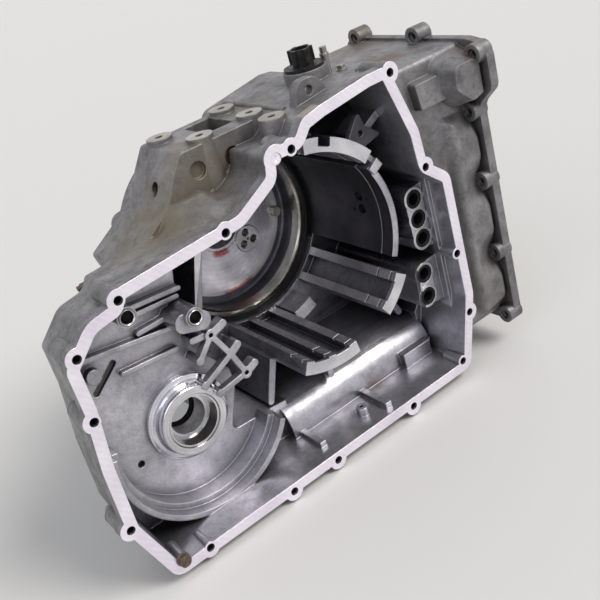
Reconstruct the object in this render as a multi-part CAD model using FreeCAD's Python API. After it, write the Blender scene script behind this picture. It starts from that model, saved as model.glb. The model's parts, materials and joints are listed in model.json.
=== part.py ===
import FreeCAD, Part
import math
import os

# Transaxle gearbox housing, in millimetres.
# Origin: main shaft axis on the joint face. +Y runs into the case, +Z is up, X runs along the foot.

# Joint face and bell
LAND = 12.0              # width of the joint face between its lugs
BELL_TOP = 161.0
BELL_ROOF = 85.0         # roof over the differential
BELL_FOOT = -221.0
BELL_LEFT = -296.0
BELL_RIGHT = 179.0
FLANGE_T = 13.0          # thickness of the joint flange
WALL_STEP = 3.0          # the wall stands this far inside the flange edge
WALL = 7.0               # cast wall
DRAFT = 5.0              # how far the bell's outside draws in towards its back
CORE_DRAFT = 3.0         # the same for its inside
BACK_T = 9.0             # floor of the differential pocket

# Joint bolts, M8 tapped
TAP_R = 3.4
TAP_MOUTH_R = 4.4
TAP_DEPTH = 24.0
TAP_WALL = 3.4
LUG_R = 11.0
LUG_LENGTH = 38.0
LUG_PLUG_R = 6.0

# Differential pocket
DIFF_X = -175.0
DIFF_Z = -109.0
DIFF_FLOOR = 72.0        # depth of the pocket's floor below the joint face
SHROUD_R = 89.0          # wall round the ring gear
SHROUD_LEDGE = 7.0
LEDGE_DEPTH = 50.0
SHROUD_LIP = 36.0        # depth of the shroud's lip
HUB_R = 47.0
HUB_NECK_R = 38.0
HUB_STEP = 66.0          # depth where the hub's neck starts
HUB_FRONT = 53.0         # depth of the hub's front face
CUP_STEP = 1.5           # the cup sits this far inside the hub's face
CUP_R = 30.0             # bearing cup's outside
CUP_BORE_R = 24.0
CUP_LENGTH = 15.0
AXLE_SEAL_R = 25.0
AXLE_SEAL_T = 9.0
AXLE_BORE_R = 17.5
AXLE_FACE = DIFF_FLOOR + 30.0    # outer face of the axle seal's seat
LATTICE_Y = DIFF_FLOOR - 24.0

# Clutch barrel round the main axis
LUG_TIP_R = 110.0
BARREL_R = LUG_TIP_R + 15.0      # outside of the clutch barrel
BARREL_FRONT = 17.0
LINER_FRONT = 29.0
BARREL_BACK = 178.0
LINER_FROM = -26.0
LINER_TO = 33.0
LINER_R = LUG_TIP_R + 8.0        # outside of the liner
CROWN_FROM = 40.0
CROWN_TO = 82.0
FINGER_DEG = 5.2         # angle that one spline lug takes
BULKHEAD_T = 14.0
BULKHEAD_STEP = 11.0     # depth of the seal ring's seat in the bulkhead
DRUM_R = LUG_TIP_R - 4.0         # drum bore behind the bulkhead
DRUM_FLOOR = 240.0
DRUM_BACK_T = 10.0
CASE_DEPTH = DRUM_FLOOR + DRUM_BACK_T
PLATE_FRONT = 80.0       # front edge of the barrel's flat left wall
GROOVE_W = 2.6
REAR_BOSS_R = 38.0
REAR_BOSS_T = 14.0
SHAFT_BORE_R = 20.0
SHAFT_BORE_DEPTH = 18.0

# Pieces in the drum
CLEAR = 0.3              # running and assembly clearance
SEAL_RING_R = LUG_TIP_R - 7.0    # inside of the black seal ring
SEAL_RING_T = 5.0
SNAP_RING_R = DRUM_R - 9.0       # inside of the steel ring
SNAP_RING_T = 15.0
SUPPORT_R = SNAP_RING_R - 9.0
SUPPORT_T = 18.0
SUPPORT_BORE_R = 28.0
PISTON_T = 3.5
INSERT_X = 33.0
INSERT_Z = -32.0
INSERT_R = 17.0
BOLT_X = SUPPORT_R - 8.0
BOLT_Z = -16.0
BOLT_R = 3.0

# Oil ports beside the liner
PORT_FACE = 30.0         # depth of the ports' faces
PORT_R = 6.8
PORT_WALL = 7.0
PORT_DEPTH = 46.0
SEAL_R = 10.8
SEAL_DEPTH = 3.0
SEAL_PROUD = 0.6
SIDE_WALL = 161.0

# Sump
TUNNEL_Y = 97.0
TUNNEL_Z = -200.0
TUNNEL_R = 40.0
TUNNEL_X0 = -70.0
TUNNEL_X1 = 146.0
SHELF_Z = -162.0         # bottom of the chamber behind the tunnel
FOOT_DROP = 9.0          # the feet stand this far below the bell

# Valve body side
SIDE_FACE = 250.0
SIDE_T = 11.0
SIDE_TOP = 150.0
SIDE_FOOT = -203.0
SIDE_BACK = 208.0
SIDE_LEDGE = 15.0

# Transmission mount
MOUNT_Z = 150.0
MOUNT_BOSS_R = 14.0
MOUNT_TAP_R = 4.25
MOUNT_TAP_DEPTH = 28.0
MOUNT_FRONT = 78.0
MOUNT_BACK = 162.0
STUD_Y = 120.0
STUD_Z = 52.0
STUD_R = 4.0
PRESSURE_X = -28.0
PRESSURE_Z = 120.0
PRESSURE_R = 9.5

# Fittings on the roof
PLUG_X = 97.0
PLUG_Y = 100.0
PLUG_BOSS_R = 24.0
PLUG_BORE_R = 15.0
PLUG_FLANGE_R = 22.0
EAR_X = 55.0
EAR_Z = 160.0
VENT_X = 126.0
VENT_R = 4.0
HARNESS_X = 144.0

# Guide sleeves
SLEEVE_R = 8.0
SLEEVE_BORE_R = 6.2
SLEEVE_SEAT = 26.0

V = FreeCAD.Vector
ALONG_Y = V(0, 1, 0)
UP = V(0, 0, 1)


def rounded_wire(points, y):
    # closed outline at one depth y; each point is (x, z, corner radius)
    count = len(points)
    corners = []
    for i in range(count):
        x, z, r = points[i]
        here = V(x, y, z)
        a = V(points[i - 1][0], y, points[i - 1][1]).sub(here)
        b = V(points[(i + 1) % count][0], y, points[(i + 1) % count][1]).sub(here)
        limit = 0.48 * min(a.Length, b.Length)
        a.normalize()
        b.normalize()
        half = a.getAngle(b) / 2
        if r <= 0 or half > math.radians(89):
            corners.append((here, here, here))
            continue
        run = min(r / math.tan(half), limit)
        radius = run * math.tan(half)
        bisector = a + b
        bisector.normalize()
        middle = here + bisector * (radius / math.sin(half) - radius)
        corners.append((here + a * run, middle, here + b * run))
    edges = []
    for i in range(count):
        start, middle, end = corners[i]
        if start.distanceToPoint(end) > 1e-6:
            edges.append(Part.Arc(start, middle, end).toShape())
        following = corners[(i + 1) % count][0]
        if end.distanceToPoint(following) > 1e-6:
            edges.append(Part.LineSegment(end, following).toShape())
    return Part.Wire(edges)


def inset(points, d):
    # the outline moved inwards by d, corner radii with it
    count = len(points)
    area = sum(points[i - 1][0] * points[i][1] - points[i][0] * points[i - 1][1] for i in range(count))
    side = 1 if area > 0 else -1
    result = []
    for i in range(count):
        x, z, r = points[i]
        ax = x - points[i - 1][0]
        az = z - points[i - 1][1]
        bx = points[(i + 1) % count][0] - x
        bz = points[(i + 1) % count][1] - z
        la = math.hypot(ax, az)
        lb = math.hypot(bx, bz)
        na = (-az / la * side, ax / la * side)
        nb = (-bz / lb * side, bx / lb * side)
        dot = na[0] * nb[0] + na[1] * nb[1]
        scale = d / (1 + dot)
        turn = (ax * bz - az * bx) * side
        corner = r - d if turn > 0 else r + d
        result.append((x + (na[0] + nb[0]) * scale, z + (na[1] + nb[1]) * scale, max(corner, 1.5)))
    return result


def prism(points, y0, y1):
    return Part.Face(rounded_wire(points, y0)).extrude(V(0, y1 - y0, 0))


def drafted(points, y0, y1, draw):
    wires = [rounded_wire(points, y0), rounded_wire(inset(points, draw), y1)]
    return Part.makeLoft(wires, True, True)


def rod(x, z, r, y0, y1):
    return Part.makeCylinder(r, y1 - y0, V(x, y0, z), ALONG_Y)


def cone(x, z, r0, r1, y0, y1):
    return Part.makeCone(r0, r1, y1 - y0, V(x, y0, z), ALONG_Y)


def block(x0, x1, y0, y1, z0, z1):
    return Part.makeBox(x1 - x0, y1 - y0, z1 - z0, V(x0, y0, z0))


def on_circle(r, angle, y, x=0.0, z=0.0):
    return V(x + r * math.cos(math.radians(angle)), y, z + r * math.sin(math.radians(angle)))


def sector(r0, r1, a0, a1, y0, y1, x=0.0, z=0.0):
    # part of a ring, angles from +X towards +Z
    mid = (a0 + a1) / 2
    inner = [on_circle(r0, a, y0, x, z) for a in (a0, mid, a1)]
    outer = [on_circle(r1, a, y0, x, z) for a in (a1, mid, a0)]
    edges = [
        Part.Arc(*inner).toShape(),
        Part.LineSegment(inner[2], outer[0]).toShape(),
        Part.Arc(*outer).toShape(),
        Part.LineSegment(outer[2], inner[0]).toShape(),
    ]
    return Part.Face(Part.Wire(edges)).extrude(V(0, y1 - y0, 0))


def ring(r0, r1, y0, y1, x=0.0, z=0.0):
    return rod(x, z, r1, y0, y1).cut(rod(x, z, r0, y0 - 1, y1 + 1))


def fuse(shapes):
    return shapes[0].multiFuse(shapes[1:]) if len(shapes) > 1 else shapes[0]


# Outline of the joint face without its lugs, clockwise from the top right
OUTLINE = [
    (126, BELL_TOP, 12),
    (149, 84, 25),
    (151, 46, 8),
    (BELL_RIGHT, 22, 18),
    (BELL_RIGHT, -130, 30),
    (BELL_RIGHT - 25, BELL_FOOT + 3, 14),
    (BELL_LEFT + 27, BELL_FOOT, 16),
    (BELL_LEFT, -142, 30),
    (BELL_LEFT + 2, -70, 40),
    (BELL_LEFT + 9, -8, 30),
    (BELL_LEFT + 9, 38, 16),
    (-255, BELL_ROOF - 17, 30),
    (-228, BELL_ROOF - 13, 6),
    (-220, BELL_ROOF - 1, 12),
    (-84, BELL_ROOF + 7, 20),
    (-43, 113, 8),
    (-38, 136, 12),
    (-1, 135, 8),
    (12, 149, 14),
    (36, 154, 10),
    (98, BELL_TOP, 10),
]

# Joint bolt centres (x, z); the last is the corner that still holds its bolt
JOINT_TAPS = [
    (128, BELL_TOP - 8),
    (148, 42),
    (BELL_RIGHT - 12, -72),
    (BELL_RIGHT - 11, -150),
    (BELL_RIGHT - 36, BELL_FOOT + 16.5),
    (58, BELL_FOOT + 4),
    (-57, BELL_FOOT + 4),
    (-119, BELL_FOOT + 4),
    (-227, BELL_FOOT + 8),
    (BELL_LEFT + 4, -140),
    (BELL_LEFT + 14, -19),
    (BELL_LEFT + 22.5, 43),
    (-220, BELL_ROOF - 11.5),
    (-101, BELL_ROOF - 2.5),
    (-8, 127),
]
CORNER_BOLT = (BELL_LEFT + 38.5, BELL_FOOT + 17)
LUG_PLUG = (-27, 125)

# Edge of the differential floor against the deep chamber, photo side down
CHAMBER = [
    (-127, BELL_ROOF - 12, 6),
    (-84, BELL_ROOF - 6, 10),
    (-30, 105, 10),
    (6, 116, 10),
    (16, 136, 8),
    (96, BELL_TOP - 13, 10),
    (115, BELL_TOP - 15, 10),
    (137, 76, 20),
    (139, 42, 8),
    (BELL_RIGHT - 16, 20, 14),
    (BELL_RIGHT - 15, -110, 20),
    (BELL_RIGHT - 32, SHELF_Z, 20),
    (-60, SHELF_Z, 6),
    (-133, -158, 6),
    (-112, -108, 8),
    (-112, -88, 10),
    (-146, -38, 8),
    (-150, -20, 8),
]

# Ribs on the floor above the differential: two ends (x, z) and the height
RIBS = [
    ((-191, 33), (-139, 28), 10),
    ((-195, 24), (-143, 20), 8),
    ((-193, 4), (-148, 5), 8),
    ((-262, 8), (-151, -9), 9),
    ((-222, -27), (-162, -32), 7),
    ((-262, 46), (-264, -2), 12),
]

# Guide sleeve centres (x, z) and the depth of their mouths
SLEEVES = [(-214, 49, 12), (-145, 6, 30)]

# Groups of spline lugs, by the angle of each lug round the main axis
FINGERS = [(-37.0, -54.0), (-84.0, -99.0, -114.0)]
GROOVES = [24.0, 45.0]
LINER_HOLES = [(7.0, 78.0, 6.0), (-1.5, 78.0, 6.0), (6.0, 64.0, 1.6), (-3.0, 92.0, 1.6)]

# Oil port centres (x, z), in a column of three and a pair
PORTS = [(147, 0), (147.5, -24.5), (148, -49), (139, -91), (137.5, -120)]

# Tapped holes of the side flange (y, z)
SIDE_TAPS = [
    (9, 71), (9, -12), (9, -104), (9, -190), (-12, 136),
    (75, SIDE_TOP + 4), (178, SIDE_TOP + 2), (199, 90), (199, -4), (199, -98),
    (196, -191), (130, -194), (66, -194),
]

# Mount bosses (x, y) and the sump's feet (x, how far back they reach)
MOUNT_BOSSES = [(-69, 145), (-51, 91), (12, 148), (11, 91), (9, 47)]
FEET = [(-119, 78), (-57, TUNNEL_Y + TUNNEL_R), (58, TUNNEL_Y + TUNNEL_R)]



def rod_x(y, z, r, x0, x1):
    return Part.makeCylinder(r, x1 - x0, V(x0, y, z), V(1, 0, 0))


def rod_z(x, y, r, z0, z1):
    return Part.makeCylinder(r, z1 - z0, V(x, y, z0), UP)


def prism_x(points, x0, x1):
    # outline given as (y, z, corner radius), extruded along X
    return prism(points, -x1, -x0).rotated(V(0, 0, 0), UP, 90)


def bar(start, end, width, y0, y1):
    # straight rib with round ends between two points (x, z)
    dx = end[0] - start[0]
    dz = end[1] - start[1]
    length = math.hypot(dx, dz)
    px = -dz / length * width / 2
    pz = dx / length * width / 2
    ex = dx / length * width / 2
    ez = dz / length * width / 2
    r = width * 0.45
    points = [
        (start[0] - ex + px, start[1] - ez + pz, r),
        (start[0] - ex - px, start[1] - ez - pz, r),
        (end[0] + ex - px, end[1] + ez - pz, r),
        (end[0] + ex + px, end[1] + ez + pz, r),
    ]
    return prism(points, y0, y1)


def hexagon(x, z, across, y0, y1):
    r = across / math.sqrt(3)
    points = [(x + r * math.cos(math.pi * k / 3), z + r * math.sin(math.pi * k / 3), 0) for k in range(6)]
    return prism(points, y0, y1)


def tapped_hole(x, z, y0, depth):
    drill = rod(x, z, TAP_R, y0 - 1, y0 + depth)
    mouth = cone(x, z, TAP_MOUTH_R + 1, TAP_R, y0 - 1, y0 + 1.4)
    return drill.fuse(mouth)


def joint_flange():
    # the machined joint flange with a round lug at every bolt
    lugs = [rod(x, z, LUG_R, 0, FLANGE_T) for x, z in JOINT_TAPS + [CORNER_BOLT]]
    lugs.append(rod(LUG_PLUG[0], LUG_PLUG[1], LUG_R + 3, 0, FLANGE_T))
    for x, z in JOINT_TAPS + [CORNER_BOLT]:
        lugs.append(rod(x, z, LUG_R - 1, FLANGE_T - 1, LUG_LENGTH))
        lugs.append(cone(x, z, LUG_R - 1, 3, LUG_LENGTH, LUG_LENGTH + 14))
    return [prism(OUTLINE, 0, FLANGE_T)] + lugs


def tap_bosses():
    # metal all round each tapped hole, where the bell's inside would cut into it
    return [rod(x, z, TAP_R + TAP_WALL, 0, TAP_DEPTH + TAP_WALL) for x, z in JOINT_TAPS + [CORNER_BOLT]]


def outside():
    # every outer form of the casting before it is hollowed
    back = DIFF_FLOOR + BACK_T
    forms = joint_flange()
    forms.append(drafted(inset(OUTLINE, WALL_STEP), FLANGE_T - 1, back, DRAFT))
    forms.append(prism(inset(CHAMBER, -WALL), back - 4, BARREL_BACK + BULKHEAD_T))
    forms.append(cone(0, 0, DRUM_R + 15, DRUM_R + 10, BARREL_BACK, CASE_DEPTH))
    forms.append(cone(DIFF_X, DIFF_Z, AXLE_SEAL_R + 18, AXLE_SEAL_R + 9, back - 2, AXLE_FACE))
    forms += side_outside() + mount_outside() + back_ribs()
    return fuse(forms)


def back_ribs():
    # stiffening ribs on the hidden back of the case
    back = DIFF_FLOOR + BACK_T
    ribs = []
    for angle in range(100, 320, 30):
        a = on_circle(AXLE_SEAL_R + 6, angle, 0, DIFF_X, DIFF_Z)
        b = on_circle(SHROUD_R, angle, 0, DIFF_X, DIFF_Z)
        ribs.append(bar((a.x, a.z), (b.x, b.z), 6, back - 2, back + 7))
    for angle in range(15, 360, 30):
        a = on_circle(REAR_BOSS_R - 4, angle, 0)
        b = on_circle(DRUM_R - 2, angle, 0)
        ribs.append(bar((a.x, a.z), (b.x, b.z), 7, CASE_DEPTH - 2, CASE_DEPTH + 8))
    ribs.append(cone(0, 0, REAR_BOSS_R, REAR_BOSS_R - 3, CASE_DEPTH - 2, CASE_DEPTH + REAR_BOSS_T))
    return ribs


def tunnel():
    # arched back wall of the sump, hollow underneath, and the feet that the case stands on
    floor = BELL_FOOT + 3
    arch = rod_x(TUNNEL_Y, TUNNEL_Z, TUNNEL_R, TUNNEL_X0, TUNNEL_X1)
    arch = arch.common(block(TUNNEL_X0, TUNNEL_X1, 0, DRUM_FLOOR, floor, 0))
    legs = block(TUNNEL_X0, TUNNEL_X1, TUNNEL_Y - TUNNEL_R, TUNNEL_Y + TUNNEL_R, floor, TUNNEL_Z)
    inner = TUNNEL_R - WALL
    groove = rod_x(TUNNEL_Y, TUNNEL_Z, inner, TUNNEL_X0 + WALL, TUNNEL_X1 - WALL)
    groove = groove.common(block(TUNNEL_X0, TUNNEL_X1, 0, DRUM_FLOOR, TUNNEL_Z, 0))
    pit = block(TUNNEL_X0 + WALL, TUNNEL_X1 - WALL, TUNNEL_Y - inner, TUNNEL_Y + inner, floor - 1, TUNNEL_Z)
    feet = [block(x - 4, x + 4, 2, reach, BELL_FOOT - FOOT_DROP, floor + 2) for x, reach in FEET]
    return [arch, legs] + feet, [groove, pit]


def side_outline(edge):
    points = [
        (0, SIDE_FOOT, 14),
        (0, 76, 22),
        (-24, 96, 14),
        (-24, SIDE_TOP - 6, 18),
        (6, SIDE_TOP, 12),
        (SIDE_BACK, SIDE_TOP, 18),
        (SIDE_BACK, SIDE_FOOT, 18),
    ]
    return inset(points, edge)


def side_box(edge):
    points = [
        (SIDE_LEDGE, SIDE_FOOT + 15, 14),
        (SIDE_LEDGE, SIDE_TOP - 3, 6),
        (SIDE_BACK - 15, SIDE_TOP - 3, 12),
        (SIDE_BACK - 15, SIDE_FOOT + 15, 14),
    ]
    return inset(points, edge)


def side_outside():
    # valve body box on the right with its flange, seen from behind in the photograph
    forms = [prism_x(side_box(0), BELL_RIGHT - 60, SIDE_FACE - 2)]
    forms.append(prism_x(side_outline(0), SIDE_FACE - SIDE_T, SIDE_FACE))
    for y, z in SIDE_TAPS:
        forms.append(rod_x(y, z, 11, SIDE_FACE - SIDE_T - 9, SIDE_FACE))
    dome = [(188, SIDE_TOP - 4, 20), (SIDE_FACE - 3, SIDE_TOP - 4, 6), (SIDE_FACE - 3, 84, 10),
            (214, 76, 20), (184, 104, 20)]
    forms.append(drafted(dome, SIDE_LEDGE + 10, -16, 13))
    forms.append(drafted([(156, 130, 5), (194, 130, 5), (202, 96, 5), (160, 96, 5)], SIDE_LEDGE + 8, 4, 3))
    return forms


def mount_outside():
    # transmission mount block over the left shoulder
    profile = [
        (-84, MOUNT_Z - 5, 6),
        (-101, 122, 12),
        (-114, 100, 14),
        (-142, 82, 14),
        (-176, 62, 5),
        (-172, 44, 6),
        (-126, 40, 8),
        (28, 60, 8),
        (28, MOUNT_Z - 5, 6),
    ]
    forms = [prism(profile, MOUNT_FRONT, MOUNT_BACK)]
    for x, y in MOUNT_BOSSES:
        forms.append(Part.makeCone(MOUNT_BOSS_R + 3, MOUNT_BOSS_R, MOUNT_Z - 96, V(x, y, 96), UP))
    forms.append(rod_x(STUD_Y, STUD_Z, 11, -182, -150))
    forms.append(rod_z(PLUG_X, PLUG_Y, PLUG_BOSS_R, BELL_TOP - 16, BELL_TOP + 5))
    ear = [(EAR_X - 22, BELL_TOP - 20, 2), (EAR_X - 13, EAR_Z + 12, 13), (EAR_X + 11, EAR_Z + 12, 13),
           (EAR_X + 20, EAR_Z - 2, 4), (EAR_X + 24, BELL_TOP - 20, 2)]
    forms.append(prism(ear, 40, 51))
    return forms


def hollows():
    # bell, deep chamber, drum bore and valve body compartment
    cuts = [drafted(inset(OUTLINE, LAND), -1, DIFF_FLOOR, CORE_DRAFT)]
    cuts.append(prism(CHAMBER, DIFF_FLOOR - 1, BARREL_BACK))
    cuts.append(block(TUNNEL_X0 + 10, BELL_RIGHT - 34, DIFF_FLOOR - 1, TUNNEL_Y, TUNNEL_Z + 28, SHELF_Z + 3))
    cuts.append(rod(0, 0, LUG_TIP_R, BARREL_BACK - 1, BARREL_BACK + BULKHEAD_STEP))
    cuts.append(rod(0, 0, DRUM_R, BARREL_BACK, DRUM_FLOOR))
    cuts.append(rod(0, 0, SHAFT_BORE_R, DRUM_FLOOR - 1, DRUM_FLOOR + SHAFT_BORE_DEPTH))
    cuts.append(prism_x(side_box(WALL), SIDE_WALL + WALL, SIDE_FACE + 1))
    cuts.append(block(BELL_RIGHT - 28, SIDE_WALL + WALL + 5, SIDE_LEDGE + WALL, SIDE_BACK - 22,
                      BELL_ROOF - 30, SIDE_TOP - 3 - WALL))
    return cuts


def shroud():
    # stepped wall round the ring gear
    forms = [
        sector(SHROUD_R, SHROUD_R + SHROUD_LEDGE + 1, 168, 332, LEDGE_DEPTH, DIFF_FLOOR + 1, DIFF_X, DIFF_Z),
        sector(SHROUD_R + SHROUD_LEDGE, SHROUD_R + 13, 168, 332, SHROUD_LIP, DIFF_FLOOR + 1, DIFF_X, DIFF_Z),
    ]
    return forms


def hub():
    # turned hub that carries the differential bearing
    profile = [(0, DIFF_FLOOR + 1), (HUB_R, DIFF_FLOOR + 1), (HUB_R, HUB_STEP), (HUB_R - 4, HUB_STEP - 2),
               (HUB_NECK_R + 2, HUB_STEP - 2), (HUB_NECK_R, HUB_STEP - 4), (HUB_NECK_R, HUB_FRONT + 1),
               (HUB_NECK_R - 1, HUB_FRONT), (0, HUB_FRONT)]
    points = [V(r, y, 0) for r, y in profile]
    face = Part.Face(Part.makePolygon(points + [points[0]]))
    solid = face.revolve(V(0, 0, 0), ALONG_Y, 360)
    return solid.translated(V(DIFF_X, 0, DIFF_Z))


def lattice():
    # rib lattice between the hub and the chamber, with three lugs and two tapped pads
    top = (-129, -29)
    mid = (-115, -60)
    low = (-105, -89)
    legs = [(-149, -49), (-153, -77), (-140, -94)]
    bars = [(top, legs[0]), (top, mid), (mid, legs[1]), (mid, low), (low, legs[2])]
    forms = [bar(a, b, 6, LATTICE_Y, LATTICE_Y + 9) for a, b in bars]
    for centre, tip in ((top, (-113, -24)), (mid, (-105, -54)), (low, (-93, -84))):
        forms.append(bar(centre, tip, 9, LATTICE_Y, LATTICE_Y + 12))
    for x, z in (top, low):
        forms.append(rod(x, z, 6.5, LATTICE_Y, LATTICE_Y + 12))
    for x, z in legs:
        forms.append(rod(x, z, 4.5, LATTICE_Y, DIFF_FLOOR + 1))
    forms.append(bar(top, (-148, -26), 7, LATTICE_Y + 3, DIFF_FLOOR + 8))
    return forms, [top, low]


def floor_ribs():
    # ribs and pads on the floor above the differential
    forms = [bar(a, b, 5, DIFF_FLOOR - h, DIFF_FLOOR + 1) for a, b, h in RIBS]
    forms.append(rod(-250, -13, 8, DIFF_FLOOR - 9, DIFF_FLOOR + 1))
    for x, z, y in SLEEVES:
        forms.append(rod(x, z, SLEEVE_R + 2, y + 2, DIFF_FLOOR + 1))
    x, z, y = SLEEVES[1]
    forms.append(bar((x - 10, z - 4), (x + 8, z - 10), 20, y + 8, DIFF_FLOOR + 1))
    return forms


def barrel():
    # clutch barrel: smooth liner, crown, and spline lugs that stand free in pairs and threes
    forms = [
        sector(LUG_TIP_R, LINER_R, LINER_FROM, LINER_TO, LINER_FRONT, BARREL_BACK + 1),
        sector(LUG_TIP_R, BARREL_R, CROWN_FROM, CROWN_TO, BARREL_FRONT, BARREL_BACK + 1),
        sector(BARREL_R - 6, BARREL_R, LINER_TO - 2, CROWN_FROM + 1, LINER_FRONT, BARREL_BACK + 1),
        sector(LINER_R - 2, BARREL_R, LINER_TO - 6, LINER_TO, LINER_FRONT + 4, BARREL_BACK + 1),
        sector(LUG_TIP_R, BARREL_R, LINER_TO - 5, LINER_TO, LINER_FRONT - 6, LINER_FRONT + 1),
        sector(LUG_TIP_R + 3, BARREL_R + 4, -79, -65, 140, BARREL_BACK + 1),
    ]
    for group in FINGERS:
        for angle in group:
            forms.append(sector(LUG_TIP_R, BARREL_R, angle - FINGER_DEG / 2, angle + FINGER_DEG / 2,
                                BARREL_FRONT, BARREL_BACK + 1))
        first = group[0] + FINGER_DEG / 2
        last = group[-1] - FINGER_DEG / 2
        forms.append(sector(BARREL_R - 5, BARREL_R, last, first, BARREL_FRONT, BARREL_BACK + 1))
        forms.append(sector(LUG_TIP_R + 2, BARREL_R, last, first, BARREL_FRONT, BARREL_FRONT + 5))
    plate = [(-93, 47, 0), (-101, 50, 0), (-125, -18, 0), (-117, -21, 0)]
    forms.append(prism(plate, PLATE_FRONT, BARREL_BACK + 1))
    return fuse(forms)


def barrel_webs():
    # webs from the barrel to the chamber's walls
    inner = rod(0, 0, BARREL_R - 2, 0, BARREL_BACK + 2)
    webs = [
        bar((100, 76), (140, 100), 7, 70, BARREL_BACK + 1),
        bar((30, 112), (34, 145), 7, 60, BARREL_BACK + 1),
        bar((96, -78), (128, -150), 8, 80, BARREL_BACK + 1),
        bar((0, -115), (0, -158), 8, 60, BARREL_BACK + 1),
        bar((-56, -105), (-76, -156), 8, 75, BARREL_BACK + 1),
        bar((112, -45), (157, -58), 8, 60, BARREL_BACK + 1),
    ]
    return fuse(webs).cut(inner)


def port_pad():
    # tubes along the right wall that bring oil to the ports, webbed to the wall
    tubes = [rod(x, z, PORT_R + PORT_WALL, PORT_FACE, BARREL_BACK + 1) for x, z in PORTS]
    webs = []
    for group in (PORTS[:3], PORTS[3:]):
        top = group[0]
        low = group[-1]
        half = PORT_R + PORT_WALL - 1.5
        web = [(top[0] - 2, top[1] + half, 4), (BELL_RIGHT - 10, top[1] + half + 3, 4),
               (BELL_RIGHT - 10, low[1] - half - 3, 4), (low[0] - 2, low[1] - half, 4)]
        webs.append(prism(web, PORT_FACE + 1.5, BARREL_BACK + 1))
        webs.append(bar(top, low, 2 * half, PORT_FACE + 0.8, BARREL_BACK + 1))
    inner = rod(0, 0, LUG_TIP_R + 2, 0, BARREL_BACK + 2)
    return [form.cut(inner) for form in tubes + webs]


def wall_between():
    return prism_x([(22, SIDE_TOP - 26, 10), (22, SIDE_FOOT + 26, 10), (186, SIDE_FOOT + 26, 10),
                    (186, SIDE_TOP - 26, 10)], SIDE_WALL, SIDE_WALL + WALL)


def make_case():
    lattice_forms, lattice_taps = lattice()
    tunnel_forms, tunnel_cuts = tunnel()
    case = outside().cut(fuse(hollows()))
    case = fuse([case, wall_between(), hub(), barrel(), barrel_webs()] + shroud() + lattice_forms
                + floor_ribs() + port_pad() + tunnel_forms + tap_bosses())
    case = case.cut(fuse(tunnel_cuts))
    case = fuse([case, inner_ear()] + sump_pads())
    cuts = [tapped_hole(x, z, 0, TAP_DEPTH) for x, z in JOINT_TAPS]
    cuts.append(tapped_hole(CORNER_BOLT[0], CORNER_BOLT[1], 0, TAP_DEPTH))
    cuts += [rod(x, z, 2.6, LATTICE_Y - 1, LATTICE_Y + 10) for x, z in lattice_taps]
    cuts.append(rod(LUG_PLUG[0], LUG_PLUG[1], LUG_PLUG_R, -1, 9))
    cuts += hub_bore() + barrel_cuts() + port_cuts() + side_cuts() + mount_cuts() + floor_cuts()
    return case.cut(fuse(cuts))


def hub_bore():
    back = AXLE_FACE + 1
    return [
        rod(DIFF_X, DIFF_Z, CUP_R, HUB_FRONT - 1, HUB_FRONT + CUP_STEP + CUP_LENGTH),
        rod(DIFF_X, DIFF_Z, AXLE_BORE_R + 3, HUB_FRONT, back),
        rod(DIFF_X, DIFF_Z, AXLE_SEAL_R, AXLE_FACE - AXLE_SEAL_T, back),
    ]


def barrel_cuts():
    # snap ring grooves, oil holes in the liner and the crown's window
    cuts = [ring(LUG_TIP_R - 4, LUG_TIP_R + 3, y, y + GROOVE_W) for y in GROOVES]
    for angle, y, r in LINER_HOLES:
        mouth = on_circle(LUG_TIP_R - 6, angle, y)
        cuts.append(Part.makeCylinder(r, 14, mouth, on_circle(1, angle, 0)))
    cuts.append(prism([(33, 111, 1), (37, 122, 1), (51, 117, 1), (47, 105, 1)], BARREL_FRONT - 1, 50))
    return cuts


def port_cuts():
    cuts = []
    for x, z in PORTS:
        cuts.append(rod(x, z, SEAL_R, PORT_FACE - 1, PORT_FACE + SEAL_DEPTH))
        cuts.append(rod(x, z, PORT_R, PORT_FACE, PORT_FACE + PORT_DEPTH))
        cuts.append(rod_x(PORT_FACE + PORT_DEPTH - PORT_R, z, PORT_R - 1, x, SIDE_WALL + WALL + 1))
    return cuts


def side_cuts():
    cuts = [rod_x(y, z, TAP_R, SIDE_FACE - SIDE_T - 10, SIDE_FACE + 1) for y, z in SIDE_TAPS]
    cuts += [rod_x(y, z, 6, SIDE_FACE - SIDE_T - 10, SIDE_FACE - SIDE_T - 6) for y, z in SIDE_TAPS]
    return cuts


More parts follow.
